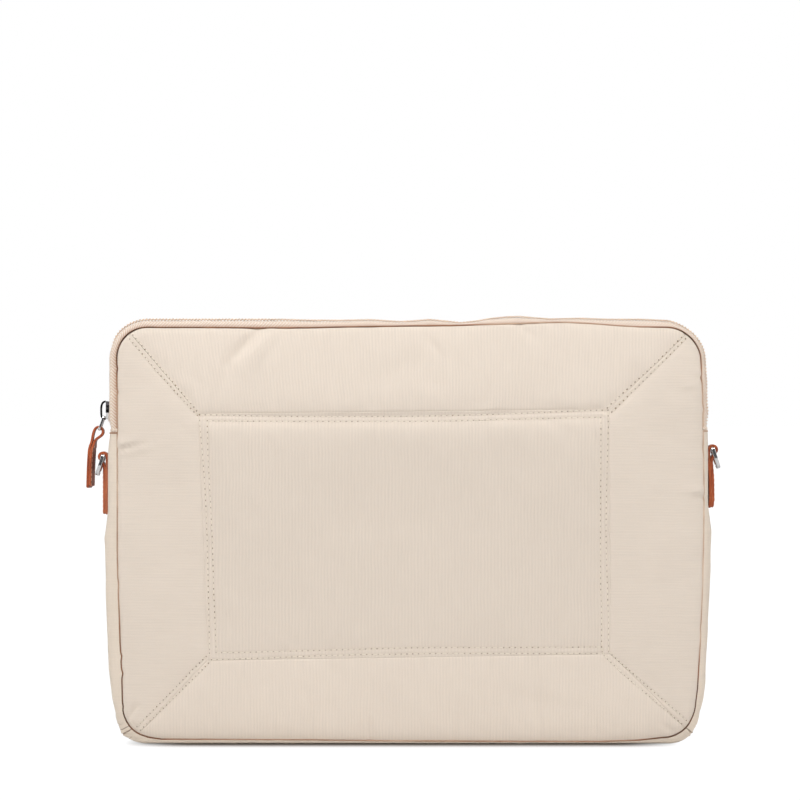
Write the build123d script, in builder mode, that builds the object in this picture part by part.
from build123d import *
import os
from math import radians, sin, cos, sqrt

# Padded laptop sleeve with a zip round its upper edge, a pieced and quilted
# front, and a leather strap tab with a metal D-ring on each side.
# Millimetres. +X to the right seen from the front, front faces -Y, +Z up.
# Origin: centre of the bottom edge, halfway through the depth.
# "Out" on a side means away from the case, and an inset runs in from the outline.

# ---------------------------------------------------------------- case dimensions
width = 362.0            # outside, side to side
height = 256.0           # outside, bottom to top
depth = 30.0             # outside, front cloth to back cloth
corner_r = 24.0          # corner radius of the outline
edge_r = 5.0             # rounding where the gusset turns into a panel
edge_turn = 80.0         # degrees the cloth follows that rounding
panel_inset = 4.6        # panel seam, in from the outline

cloth_t = 0.9            # outer cloth
foam_t = 4.0             # panel padding
lining_t = 0.5           # pocket lining
gusset_foam_t = 3.0      # padding of the lower gusset
gusset_lining_t = 0.4
lining_clearance = 0.2   # gusset lining's edge to the panel lining
gusset_setback = 1.0     # gusset padding and lining end this far below the cloth
binding_w = 1.8          # binding of the inner seams, across the seam
binding_t = 1.6          # and through the depth
gap = 0.1                # space between layers
seam_gap = 0.3           # space between neighbouring cloth pieces

# quilted front: the centre rectangle, with seams running to the panel's corners
rect_left, rect_right = -124.0, 119.5
rect_low, fold_z = 51.5, 199.5        # the upper row is also the fold line
upper_aim = (8.0, 4.0)   # upper seams aim this far in and down from the corner
lower_aim = (12.0, 2.0)  # lower seams aim this far in and up from the corner
seam_reach = 1.4         # seams are drawn past their aim by this factor
far_x, far_low, far_high = 400.0, -60.0, 300.0   # well clear of the panel
clip_h = 300.0           # height of the rectangle that trims at the fold

# ---------------------------------------------------------------- zip dimensions
zip_left_z = 187.0       # lower end of the zip on the left side
zip_right_z = 196.0      # lower end of the zip on the right side
tape_inset = 0.7         # tape's outer face
tape_t = 0.7
tape_half_gap = 0.6      # half the space between the two tapes
coil_in, coil_out = 0.5, 2.3          # coil row, distance from the centre line
coil_h = 1.1             # coil stands this far out of the tape's outer face
coil_left_z, coil_right_z = zip_left_z + 2.5, zip_right_z + 2.0
cover_half_w = 6.5       # folded cloth over the zip's ends
cover_rise = 0.2         # cover's foot, above the zip's end
cover_left_len, cover_right_len = 2.0, 1.6

# slider and pull, on the left side
slider_low, slider_len = 195.5, 11.0
slider_half_w = 4.2
plate_t = 1.1            # outer plate
inner_plate_t = 1.0
slider_wall = 1.1        # walls between the plates
crown_w = 3.0
link_tilt = 20.0         # degrees out from straight down
pull_tilt = 9.0
link_pitch = 8.0         # distance between the link's two bars
link_wire = 1.4          # link's wire, seen square on
link_t = 1.3             # link's wire, seen from its edge
pull_len = 36.0
pull_half_w = 4.2
pull_leather = 1.8
pull_hole = 1.0          # radius of the leather's eye

# ---------------------------------------------------------------- strap tabs and D-rings
tab_half_w = 6.0
tab_leather = 1.6
fold_slit = 0.2          # space between the two layers of a folded strap
ring_wire = 2.2
ring_inner_w = 13.0
ring_len = 12.0          # bar centre to the far edge
ring_far_r = 6.6         # outer corners at the far end
ring_bar_r = 1.0         # outer corners at the bar
ring_tilt = 18.0
tab_left_low, tab_right_low = 138.0, 142.0
ring_left_z, ring_right_z = 173.0, 177.3

# ---------------------------------------------------------------- derived
half_w = width / 2
half_d = depth / 2
cloth_in = half_d - cloth_t                  # inner face of the panel cloth
foam_out = cloth_in - gap
foam_in = foam_out - foam_t
lining_out = foam_in - gap
lining_in = lining_out - lining_t
binding_out = lining_in - gap
panel_w = width - 2 * panel_inset
panel_h = height - 2 * panel_inset
panel_r = corner_r - panel_inset
gusset_foam_out = cloth_t + gap              # insets of the gusset's padding
gusset_foam_in = gusset_foam_out + gusset_foam_t
above_fold_z = fold_z + seam_gap / 2
below_fold_z = fold_z - seam_gap / 2

tape_x = half_w - tape_inset                 # tape's outer face on the sides
plate_in = tape_x + coil_h + 0.2             # slider's outer plate
plate_out = plate_in + plate_t
inner_plate_out = tape_x - tape_t - 0.25
crown_x = plate_out + 1.15                   # link's upper bar, under the crown
crown_z = slider_low + 1.5
link_low_x = crown_x + link_pitch * sin(radians(link_tilt))
link_low_z = crown_z - link_pitch * cos(radians(link_tilt))

tab_hole = ring_wire / 2 * sqrt(2) + 0.1     # clears the corners of the square bar
tab_loop_r = tab_hole + tab_leather
ring_x = half_w + 0.05 + tab_loop_r          # ring's bar, out from the centre


# ---------------------------------------------------------------- planes
def left_section(z):
    """Across the left side's wall at height z: x runs in, y runs to the front."""
    return Plane(origin=(-half_w, 0, z), x_dir=(1, 0, 0), z_dir=(0, 0, -1))


def right_section(z):
    """Across the right side's wall at height z: x runs in, y runs to the front."""
    return Plane(origin=(half_w, 0, z), x_dir=(-1, 0, 0), z_dir=(0, 0, 1))


def hanging(x, z, tilt, side):
    """Plane of a flat ring hung at (x, z), tilted out: x along Y, y up the ring."""
    out, down = sin(radians(tilt)), cos(radians(tilt))
    return Plane(origin=(side * x, 0, z), x_dir=(0, 1, 0), z_dir=(down, 0, side * out))


def strap_section(x, z, tilt, side):
    """Side profile of a strap hung at (x, z): x towards the case, y up the strap."""
    out, down = sin(radians(tilt)), cos(radians(tilt))
    return Plane(origin=(side * x, 0, z), x_dir=(-side * down, 0, -out), z_dir=(0, side, 0))


# ---------------------------------------------------------------- paths and profiles
# These draw into the line or sketch that is open where they are called.
def outline_below(z_left, z_right):
    """The outline from the left side down, along the bottom and up the right side."""
    Line((-half_w, z_left), (-half_w, corner_r))
    CenterArc((-half_w + corner_r, corner_r), corner_r, 180, 90)
    Line((-half_w + corner_r, 0), (half_w - corner_r, 0))
    CenterArc((half_w - corner_r, corner_r), corner_r, 270, 90)
    Line((half_w, corner_r), (half_w, z_right))


def outline_above(z_left, z_right):
    """The outline from the left side up, along the top and down the right side."""
    top = height - corner_r
    Line((-half_w, z_left), (-half_w, top))
    CenterArc((-half_w + corner_r, top), corner_r, 180, -90)
    Line((-half_w + corner_r, height), (half_w - corner_r, height))
    CenterArc((half_w - corner_r, top), corner_r, 90, -90)
    Line((half_w, top), (half_w, z_right))


def band_profile(inset, thick, y_start, side=1):
    """Strip of cloth from y_start outwards and round the edge to the panel seam."""
    outer_r = edge_r - inset
    inner_r = outer_r - thick
    centre_y = half_d - outer_r
    turn = radians(edge_turn)

    def on_edge(radius, angle):
        return (edge_r - radius * cos(angle), side * (centre_y + radius * sin(angle)))

    with BuildLine() as strip:
        Polyline(on_edge(inner_r, 0), (edge_r - inner_r, side * y_start),
                 (inset, side * y_start), on_edge(outer_r, 0))
        ThreePointArc(on_edge(outer_r, 0), on_edge(outer_r, turn / 2), on_edge(outer_r, turn))
        Line(on_edge(outer_r, turn), on_edge(inner_r, turn))
        ThreePointArc(on_edge(inner_r, turn), on_edge(inner_r, turn / 2), on_edge(inner_r, 0))
    make_face(strip.edges())


def block_profile(x0, x1, y0, y1):
    """Plain rectangle between two insets and two depths."""
    with Locations(((x0 + x1) / 2, (y0 + y1) / 2)):
        Rectangle(abs(x1 - x0), abs(y1 - y0))


def gusset_cloth_profile():
    band_profile(0.0, cloth_t, 0.0)
    band_profile(0.0, cloth_t, 0.0, side=-1)


def gusset_lining_profile():
    lining_x = gusset_foam_in + gap
    lining_y = lining_in - lining_clearance
    block_profile(lining_x, lining_x + gusset_lining_t, -lining_y, lining_y)


def tape_profile(side=1):
    band_profile(tape_inset, tape_t, tape_half_gap, side)


def coil_profile(side=1):
    block_profile(tape_inset - coil_h, tape_inset - 0.02, side * coil_in, side * coil_out)


def cover_profile():
    block_profile(tape_inset - 0.9, tape_inset - 0.05, -cover_half_w, cover_half_w)


def panel_outline(inset=0.0, mode=Mode.ADD):
    with Locations((0, height / 2)):
        RectangleRounded(panel_w - 2 * inset, panel_h - 2 * inset, panel_r - inset, mode=mode)


def above_fold():
    with Locations((0, above_fold_z + clip_h / 2)):
        Rectangle(2 * width, clip_h, mode=Mode.INTERSECT)


def below_fold():
    with Locations((0, below_fold_z - clip_h / 2)):
        Rectangle(2 * width, clip_h, mode=Mode.INTERSECT)


def pattern_piece(points):
    """Clip the sketch to one pattern piece, drawn in by half a seam gap."""
    with BuildSketch(mode=Mode.PRIVATE) as clip:
        with BuildLine():
            Polyline(*points, close=True)
        make_face()
        offset(amount=-seam_gap / 2, kind=Kind.INTERSECTION)
    add(clip.sketch, mode=Mode.INTERSECT)


def folded_strap(hole_r, leather, length, side, slit_shift, slit_short):
    """Strap folded round an eye, both layers hanging down on one side of it.

    The slit between the layers is slit_short shorter than the strap, and its
    centre is slit_shift lower.
    """
    loop_r = hole_r + leather
    both_layers = 2 * leather + fold_slit
    layers_x = side * (loop_r - both_layers / 2)
    Circle(loop_r)
    with Locations((layers_x, -length / 2)):
        Rectangle(both_layers, length)
    Circle(hole_r, mode=Mode.SUBTRACT)
    with Locations((layers_x, -length / 2 - slit_shift)):
        Rectangle(fold_slit, length - slit_short, mode=Mode.SUBTRACT)


def round_strap_ends(strap, radius):
    """Round the corners of a folded strap's two lower ends."""
    ends = strap.faces().sort_by(Axis.Z)[:2]
    fillet([e for f in ends for e in f.edges() if 1.0 < e.length < 3.0], radius=radius)


# ---------------------------------------------------------------- flat layers
def layer(inner_y, thick, clip=None, *clip_args):
    """Panel-shaped sheet, built towards the front from inner_y in front of the centre."""
    with BuildPart() as sheet:
        with BuildSketch(Plane.XZ.offset(inner_y)):
            panel_outline()
            if clip:
                clip(*clip_args)
        extrude(amount=thick)
    return sheet.part


def seam_binding(inner_y, clip=None):
    """Narrow frame along the panel's edge."""
    with BuildPart() as frame:
        with BuildSketch(Plane.XZ.offset(inner_y)):
            panel_outline()
            panel_outline(binding_w, Mode.SUBTRACT)
            if clip:
                clip()
        extrude(amount=binding_t)
    return frame.part


def front_centre_panel():
    with BuildPart() as panel:
        with BuildSketch(Plane.XZ.offset(cloth_in)):
            with Locations(((rect_left + rect_right) / 2, (rect_low + fold_z) / 2)):
                Rectangle(rect_right - rect_left - seam_gap, fold_z - rect_low - seam_gap)
        extrude(amount=cloth_t)
    return panel.part


def seam_end(start, aim):
    """End of a diagonal seam, past its aim and clear of the panel."""
    return tuple(s + seam_reach * (a - s) for s, a in zip(start, aim))


def front_pieces():
    """Outlines (x, z) of the cloth pieces round the centre rectangle."""
    top_left, top_right = (rect_left, fold_z), (rect_right, fold_z)
    low_left, low_right = (rect_left, rect_low), (rect_right, rect_low)
    upper_x = panel_w / 2 - upper_aim[0]
    upper_z = height - panel_inset - upper_aim[1]
    lower_x = panel_w / 2 - lower_aim[0]
    lower_z = panel_inset + lower_aim[1]
    end_top_left = seam_end(top_left, (-upper_x, upper_z))
    end_top_right = seam_end(top_right, (upper_x, upper_z))
    end_low_left = seam_end(low_left, (-lower_x, lower_z))
    end_low_right = seam_end(low_right, (lower_x, lower_z))
    return {
        "front_top_panel": [top_left, top_right, end_top_right, end_top_left],
        "front_bottom_panel": [low_left, end_low_left, end_low_right, low_right],
        "front_left_panel": [low_left, top_left, (-far_x, fold_z), (-far_x, far_low),
                             end_low_left],
        "front_right_panel": [low_right, end_low_right, (far_x, far_low), (far_x, fold_z),
                              top_right],
        "front_left_corner": [top_left, end_top_left, (-far_x, far_high), (-far_x, fold_z)],
        "front_right_corner": [top_right, (far_x, fold_z), (far_x, far_high), end_top_right],
    }


# ---------------------------------------------------------------- gusset and zip
def swept(path, z_left, z_right, profile, *profile_args):
    """Profile carried along the outline from the left side to the right side."""
    with BuildPart() as strip:
        with BuildLine(Plane.XZ):
            path(z_left, z_right)
        with BuildSketch(left_section(z_left)):
            profile(*profile_args)
        sweep()
    return strip.part


def side_strips(profile, left_low, left_top, right_low, right_top):
    """Straight upright strips of one profile, one on each side."""
    with BuildPart() as strips:
        with BuildSketch(left_section(left_top)):
            profile()
        extrude(amount=left_top - left_low)
        with BuildSketch(right_section(right_low)):
            profile()
        extrude(amount=right_top - right_low)
    return strips.part


def gusset_foam():
    """Gusset padding, its outer corners rounded to follow the cloth."""
    x0, x1 = gusset_foam_out, gusset_foam_in
    round_r = edge_r - x0
    outer_y = half_d - edge_r
    inner_y = outer_y + sqrt(round_r ** 2 - (edge_r - x1) ** 2)
    z_left, z_right = zip_left_z - gusset_setback, zip_right_z - gusset_setback
    with BuildPart() as foam:
        with BuildLine(Plane.XZ):
            outline_below(z_left, z_right)
        with BuildSketch(left_section(z_left)):
            with BuildLine():
                Line((x0, -outer_y), (x0, outer_y))
                RadiusArc((x0, outer_y), (x1, inner_y), round_r)
                Line((x1, inner_y), (x1, -inner_y))
                RadiusArc((x1, -inner_y), (x0, -outer_y), round_r)
            make_face()
        sweep()
    return foam.part


# ---------------------------------------------------------------- slider and pull
def slider_outline(grow=0.0):
    """Slider seen square on: broad shoulders at the top, narrower at the foot."""
    w, z0, z1 = slider_half_w + grow, slider_low, slider_low + slider_len
    with BuildLine() as rim:
        Polyline((-w * 0.72, z0), (w * 0.72, z0), (w, z0 + 4.2), (w, z1 - 2.6),
                 (w * 0.62, z1), (-w * 0.62, z1), (-w, z1 - 2.6), (-w, z0 + 4.2),
                 close=True)
    make_face(rim.edges())


def slider_body():
    """Two plates with walls on the outer one, joined by a post near the top."""
    mouth_w, mouth_h = 5.4, 6.0           # openings between the walls
    post_z = slider_low + slider_len - 2.6
    post_overlap = 0.3                    # post runs into each plate
    with BuildPart() as body:
        with BuildSketch(Plane.YZ.offset(-plate_out)):
            slider_outline()
        extrude(amount=plate_t)
        fillet(body.edges().filter_by(Axis.X), radius=0.9)
        # walls, open at the foot and the top
        with BuildSketch(Plane.YZ.offset(-plate_in - 0.01)):
            slider_outline()
            offset(amount=-slider_wall, mode=Mode.SUBTRACT)
            with Locations((0, slider_low), (0, slider_low + slider_len)):
                Rectangle(mouth_w, mouth_h, mode=Mode.SUBTRACT)
        extrude(amount=plate_in - tape_x - 0.24)
        with BuildSketch(Plane.YZ.offset(-inner_plate_out)):
            slider_outline(-0.3)
        extrude(amount=inner_plate_t)
        with BuildSketch(Plane.YZ.offset(-plate_in - post_overlap)):
            with Locations((0, post_z)):
                SlotOverall(3.0, 0.7, rotation=90)
        extrude(amount=plate_in + 2 * post_overlap - inner_plate_out)
        chamfer(body.faces().sort_by(Axis.X)[0].edges(), length=0.3)
    return body.part


def slider_crown():
    """Bridge on the outer plate that holds the link's upper bar."""
    x = -plate_out - 0.02                 # crown's foot on the plate
    z0, z1 = slider_low - 0.3, slider_low + slider_len - 0.6
    with BuildPart() as crown:
        with BuildSketch(Plane.XZ.offset(-crown_w / 2)) as profile:
            with BuildLine():
                Polyline((x, z0), (x - 2.0, z0), (x - 3.3, z0 + 1.4), (x - 3.3, z0 + 5.6),
                         (x - 1.5, z1 - 1.6), (x, z1), close=True)
            make_face()
            fillet(profile.vertices().filter_by_position(Axis.X, x - 4, x - 1.2), radius=1.0)
            with BuildLine():
                Polyline((x, z0 + 0.7), (x - 1.6, z0 + 0.7), (x - 2.25, z0 + 1.5),
                         (x - 2.25, z0 + 5.2), (x - 0.9, z1 - 2.8), (x, z1 - 2.2), close=True)
            make_face(mode=Mode.SUBTRACT)
        extrude(amount=crown_w)
        # soften the outer edges of both flanks
        for flank in (0, -1):
            edges = crown.faces().filter_by(Axis.Y).group_by(Axis.Y)[flank].edges()
            fillet(edges.filter_by_position(Axis.X, x - 4, x - 1.9), radius=0.3)
    return crown.part


def pull_link():
    """Flat wire link: upper bar under the crown, lower bar through the leather."""
    inner_w = 2 * (pull_half_w + 0.5)
    inner_h = link_pitch - link_wire
    with BuildPart() as link:
        with BuildSketch(hanging(crown_x, crown_z, link_tilt, -1).offset(-link_t / 2)):
            with Locations((0, -link_pitch / 2)):
                RectangleRounded(inner_w + 2 * link_wire, inner_h + 2 * link_wire, 1.9)
                RectangleRounded(inner_w, inner_h, 0.6, mode=Mode.SUBTRACT)
        extrude(amount=link_t)
        fillet(link.edges().filter_by(lambda e: e.length > 5), radius=0.25)
    return link.part


def zip_pull_leather():
    """One strap folded round the link's lower bar, ends together."""
    section = strap_section(link_low_x, link_low_z, pull_tilt, -1)
    length = pull_len - pull_leather - pull_hole
    with BuildPart() as pull:
        with BuildSketch(section.offset(-pull_half_w)):
            folded_strap(pull_hole, pull_leather, length, side=-1,
                         slit_shift=0.5, slit_short=1.0)
        extrude(amount=2 * pull_half_w)
        round_strap_ends(pull, 1.6)
    return pull.part


# ---------------------------------------------------------------- strap tabs and D-rings
def ring_tab(z_ring, z_low, side):
    """Leather strap folded round the ring's bar, its two ends flat on the side."""
    section = strap_section(ring_x, z_ring, 0, side)
    with BuildSketch(section.offset(-tab_half_w)) as fold:
        folded_strap(tab_hole, tab_leather, z_ring - z_low, side=1,
                     slit_shift=1.5, slit_short=2.0)
    with BuildPart() as tab:
        extrude(fold.sketch, amount=2 * tab_half_w)
        round_strap_ends(tab, 2.0)
    return tab.part


def d_ring(z_ring, side):
    """Flat D: straight bar through the tab, two legs and a rounded far end."""
    outer_w = ring_inner_w + 2 * ring_wire
    outer_h = ring_len + ring_wire / 2
    centre = (0, ring_wire / 2 - outer_h / 2)
    with BuildSketch(hanging(ring_x, z_ring, ring_tilt, side).offset(-ring_wire / 2)) as outer:
        with Locations(centre):
            Rectangle(outer_w, outer_h)
        fillet(outer.vertices().group_by(Axis.Y)[0], radius=ring_far_r)
        fillet(outer.vertices().group_by(Axis.Y)[-1], radius=ring_bar_r)
        with BuildSketch(mode=Mode.PRIVATE) as inner:
            with Locations(centre):
                Rectangle(ring_inner_w, outer_h - 2 * ring_wire)
            fillet(inner.vertices().group_by(Axis.Y)[0], radius=ring_far_r - ring_wire)
        add(inner.sketch, mode=Mode.SUBTRACT)
    with BuildPart() as ring:
        extrude(outer.sketch, amount=ring_wire)
        fillet(ring.edges().filter_by(Axis.Y), radius=0.3)
    return ring.part


# ---------------------------------------------------------------- build the parts
parts = {"front_centre_panel": front_centre_panel()}
for name, points in front_pieces().items():
    parts[name] = layer(cloth_in, cloth_t, pattern_piece, points)

parts |= {
    "front_foam": layer(foam_in, foam_t, below_fold),
    "front_foam_flap": layer(foam_in, foam_t, above_fold),
    "front_lining": layer(lining_in, lining_t, below_fold),
    "front_lining_flap": layer(lining_in, lining_t, above_fold),
    "back_panel": layer(-half_d, cloth_t),
    "back_foam": layer(-foam_out, foam_t),
    "back_lining": layer(-lining_out, lining_t),
    "seam_binding_back": seam_binding(-binding_out),
    "seam_binding_front": seam_binding(binding_out - binding_t, below_fold),
    "seam_binding_flap": seam_binding(binding_out - binding_t, above_fold),
    "lower_gusset": swept(outline_below, zip_left_z, zip_right_z, gusset_cloth_profile),
    "gusset_foam": gusset_foam(),
    "gusset_lining": swept(outline_below, zip_left_z - gusset_setback,
                           zip_right_z - gusset_setback, gusset_lining_profile),
    # the front half of the zip is split at the fold, the back half is whole
    "zip_tape_front": swept(outline_above, above_fold_z, above_fold_z, tape_profile),
    "zip_tape_front_ends": side_strips(tape_profile, zip_left_z + gap, below_fold_z,
                                       zip_right_z + gap, below_fold_z),
    "zip_tape_back": swept(outline_above, zip_left_z + gap, zip_right_z + gap,
                           tape_profile, -1),
    "zip_coil_front": swept(outline_above, above_fold_z, above_fold_z, coil_profile),
    "zip_coil_front_ends": side_strips(coil_profile, coil_left_z, below_fold_z,
                                       coil_right_z, below_fold_z),
    "zip_coil_back": swept(outline_above, coil_left_z, coil_right_z, coil_profile, -1),
    # folded cloth ends that close off the zip where it meets the gusset
    "zip_end_covers": side_strips(cover_profile, zip_left_z + cover_rise,
                                  zip_left_z + cover_rise + cover_left_len,
                                  zip_right_z + cover_rise,
                                  zip_right_z + cover_rise + cover_right_len),
    "slider_body": slider_body(),
    "slider_crown": slider_crown(),
    "pull_link": pull_link(),
    "zip_pull_leather": zip_pull_leather(),
    "left_ring_tab": ring_tab(ring_left_z, tab_left_low, -1),
    "right_ring_tab": ring_tab(ring_right_z, tab_right_low, 1),
    "left_d_ring": d_ring(ring_left_z, -1),
    "right_d_ring": d_ring(ring_right_z, 1),
}

# ---------------------------------------------------------------- write the parts
os.makedirs("parts", exist_ok=True)
for name, part in parts.items():
    part.label = name
    export_step(part, f"parts/{name}.step")
